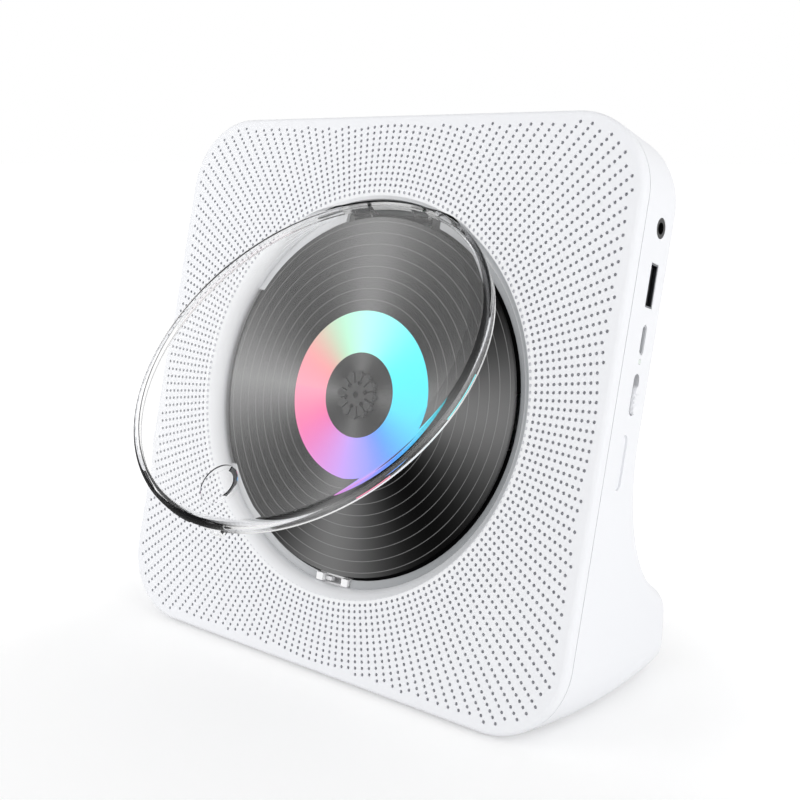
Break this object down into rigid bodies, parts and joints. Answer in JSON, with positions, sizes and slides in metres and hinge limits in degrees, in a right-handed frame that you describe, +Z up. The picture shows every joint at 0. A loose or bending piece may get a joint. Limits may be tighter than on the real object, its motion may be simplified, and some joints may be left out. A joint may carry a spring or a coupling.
{
  "type": "wall mounted cd player",
  "caption": "Square desk or wall disc player: perforated front with speakers, tilted foot, hinged clear round cover over a disc on its spindle, laser sled, side sockets and switch.",
  "frame": {"origin": "on the table plane under the middle of the overall box, cover open as at rest", "axes": "+Z up, +X to the right as the listener sees the front, the front faces -Y and leans back 15 degrees"},
  "size_m": [0.1869, 0.1257, 0.1812],
  "materials": {
    "white_shell": "satin",
    "seat_grey": "satin",
    "deck_black": "matte",
    "clear_cover": "polished",
    "disc_black": "gloss",
    "hub_black": "satin",
    "steel": "satin",
    "zinc": "satin",
    "drive_black": "matte",
    "gear_white": "satin",
    "rubber": "matte",
    "lens_glass": "polished",
    "cloth": "matte",
    "cone_paper": "matte",
    "board_green": "satin",
    "chip_black": "matte",
    "socket_black": "satin",
    "socket_steel": "satin",
    "white_control": "satin",
    "light_lens": "polished",
    "cell_blue": "satin"
  },
  "bodies": {
    "base": {"front_shell": "white_shell", "rear_shell": "white_shell", "rubber_feet": "rubber", "case_screws": "zinc", "grille_cloth": "cloth", "well_ring": "seat_grey", "disc_deck": "deck_black", "deck_screws": "zinc", "catch_guide": "white_control", "hinge_pin": "steel", "spindle_motor": "steel", "mechanism_chassis": "drive_black", "chassis_dampers": "rubber", "chassis_screws": "zinc", "guide_rods": "steel", "sled_motor": "steel", "speaker_left": "steel", "speaker_right": "steel", "speaker_cones": "cone_paper", "main_board": "board_green", "board_parts": "chip_black", "side_board": "board_green", "audio_socket": "socket_black", "data_socket": "socket_steel", "charge_socket": "socket_steel", "status_light": "light_lens", "power_switch": "socket_black", "button_board": "board_green", "button_switches": "chip_black", "battery_cells": "cell_blue", "battery_holder": "drive_black"},
    "cover": {"dust_cover": "clear_cover"},
    "catch": {"cover_catch": "white_control"},
    "spindle": {"compact_disc": "disc_black", "turntable_hub": "hub_black", "spindle_shaft": "steel"},
    "sled": {"pickup_carriage": "drive_black", "pickup_lens": "lens_glass"},
    "sled_wheel": {"sled_gear": "gear_white"},
    "motor_pinion": {"sled_pinion": "gear_white"},
    "power": {"power_knob": "white_control"},
    "previous_key": {"button_previous": "white_control"},
    "play_key": {"button_play": "white_control"},
    "next_key": {"button_next": "white_control"},
    "volume_down_key": {"button_volume_down": "white_control"},
    "volume_up_key": {"button_volume_up": "white_control"}
  },
  "joints": [
    {"name": "cover_hinge", "type": "hinge", "parent": "base", "child": "cover", "pos_m": [0, 0.02903, 0.14693], "axis": [-1, 0, 0], "range_deg": [-30.2, 4]},
    {"name": "catch_slide", "type": "slide", "parent": "base", "child": "catch", "axis": [1, 0, 0], "range_m": [0, 0.0016]},
    {"name": "spindle_spin", "type": "hinge", "parent": "base", "child": "spindle", "pos_m": [0, 0.00927, 0.08938], "axis": [0, -0.9659, 0.2588], "continuous": true},
    {"name": "sled_slide", "type": "slide", "parent": "base", "child": "sled", "axis": [1, 0, 0], "range_m": [0, 0.032]},
    {"name": "wheel_spin", "type": "hinge", "parent": "base", "child": "sled_wheel", "pos_m": [0.042, 0.01081, 0.05687], "axis": [0, -0.9659, 0.2588], "range_deg": [-475, 12]},
    {"name": "pinion_spin", "type": "hinge", "parent": "base", "child": "motor_pinion", "pos_m": [0.042, 0.00921, 0.04126], "axis": [0, -0.9659, 0.2588], "range_deg": [-40, 1630]},
    {"name": "power_slide", "type": "slide", "parent": "base", "child": "power", "axis": [0, 0.2588, 0.9659], "range_m": [0, 0.003]},
    {"name": "previous_press", "type": "slide", "parent": "base", "child": "previous_key", "axis": [0, -0.2588, -0.9659], "range_m": [0, 0.0005], "stiffness_N_per_m": 600},
    {"name": "play_press", "type": "slide", "parent": "base", "child": "play_key", "axis": [0, -0.2588, -0.9659], "range_m": [0, 0.0005], "stiffness_N_per_m": 600},
    {"name": "next_press", "type": "slide", "parent": "base", "child": "next_key", "axis": [0, -0.2588, -0.9659], "range_m": [0, 0.0005], "stiffness_N_per_m": 600},
    {"name": "volume_down_press", "type": "slide", "parent": "base", "child": "volume_down_key", "axis": [0, -0.2588, -0.9659], "range_m": [0, 0.0005], "stiffness_N_per_m": 600},
    {"name": "volume_up_press", "type": "slide", "parent": "base", "child": "volume_up_key", "axis": [0, -0.2588, -0.9659], "range_m": [0, 0.0005], "stiffness_N_per_m": 600}
  ],
  "couplings": [
    {"joint": "wheel_spin", "follows": "sled_slide", "rad_per_m": -250},
    {"joint": "pinion_spin", "follows": "sled_slide", "rad_per_m": 857.14}
  ]
}
